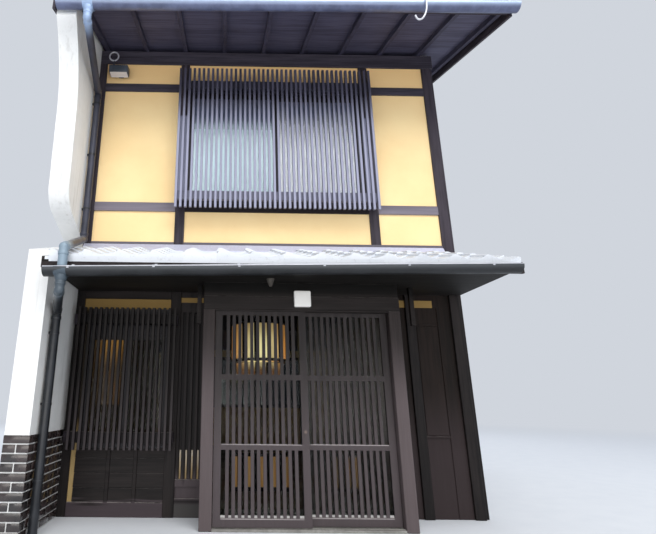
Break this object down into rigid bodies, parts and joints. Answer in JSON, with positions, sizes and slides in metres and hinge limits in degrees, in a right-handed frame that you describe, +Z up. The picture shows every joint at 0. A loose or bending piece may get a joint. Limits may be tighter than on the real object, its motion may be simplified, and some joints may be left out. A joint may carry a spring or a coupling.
{
  "type": "timber townhouse",
  "caption": "Narrow two storey timber townhouse with slatted windows, sliding lattice doors, a tiled pent roof, a gable roof and a plastered wing wall.",
  "frame": {"origin": "on the ground, below the middle of the plan's bounding box", "axes": "-Y is the street side, +X runs to the right as seen from the street, +Z is up"},
  "size_m": [4.658, 7.95, 6.4398],
  "materials": {
    "white_plaster": "smooth lime plaster",
    "grey_render": "plain cement render",
    "ochre_plaster": "fine sanded earth plaster",
    "dark_timber": "weathered black stain",
    "entrance_timber": "worn brown black stain",
    "floor_boards": "planed boards",
    "concrete": "trowelled concrete",
    "window_metal": "dark bronze coating",
    "window_glass": "clear",
    "silver_tile": "smoked silver grey tile",
    "dark_tile": "smoked dark grey tile",
    "flashing_metal": "coated sheet",
    "gutter_metal": "dark coated sheet",
    "pipe_metal": "dark coated tube",
    "lamp_white": "opal cover",
    "flood_grey": "grey coating",
    "pull_steel": "brushed"
  },
  "bodies": {
    "house": {"left_party_wall": "grey_render", "upper_wing_wall": "white_plaster", "lower_wing_wall": "white_plaster", "right_party_wall": "grey_render", "ground_floor": "concrete", "upper_floor": "floor_boards", "posts": "dark_timber", "beams": "dark_timber", "plaster_panels": "ochre_plaster", "upper_window": "window_metal", "lower_window": "window_metal", "front_glass": "window_glass", "back_windows": "window_metal", "back_glass": "window_glass", "upper_lattice": "dark_timber", "lower_lattice": "dark_timber", "lattice_brackets": "dark_timber", "side_light": "dark_timber", "wainscot": "dark_timber", "right_boards": "dark_timber", "entrance_posts": "entrance_timber", "entrance_lintel": "entrance_timber", "entrance_threshold": "concrete", "entrance_sides": "dark_timber", "door_guides": "entrance_timber", "lower_roof": "silver_tile", "lower_roof_ends": "dark_timber", "lower_soffit": "dark_timber", "wall_flashing": "flashing_metal", "main_roof_front": "dark_tile", "main_roof_back": "dark_tile", "ridge": "dark_tile", "rafters": "dark_timber", "verge_boards": "dark_timber", "eave_boards": "dark_timber", "lower_gutter": "gutter_metal", "main_gutters": "gutter_metal", "gutter_hangers": "gutter_metal", "upper_downpipe": "pipe_metal", "lower_downpipe": "pipe_metal", "back_downpipe": "pipe_metal", "pipe_clips": "pipe_metal", "floodlight": "flood_grey", "porch_lamp": "lamp_white", "hanging_bars": "dark_timber"},
    "left_door": {"door_left": "entrance_timber", "door_left_glass": "window_glass", "door_left_pull": "pull_steel"},
    "right_door": {"door_right": "entrance_timber", "door_right_glass": "window_glass"}
  },
  "joints": [
    {"name": "left_door_slide", "type": "slide", "parent": "house", "child": "left_door", "axis": [1, 0, 0], "range_m": [0, 0.78]},
    {"name": "right_door_slide", "type": "slide", "parent": "house", "child": "right_door", "axis": [-1, 0, 0], "range_m": [0, 0.78]}
  ]
}
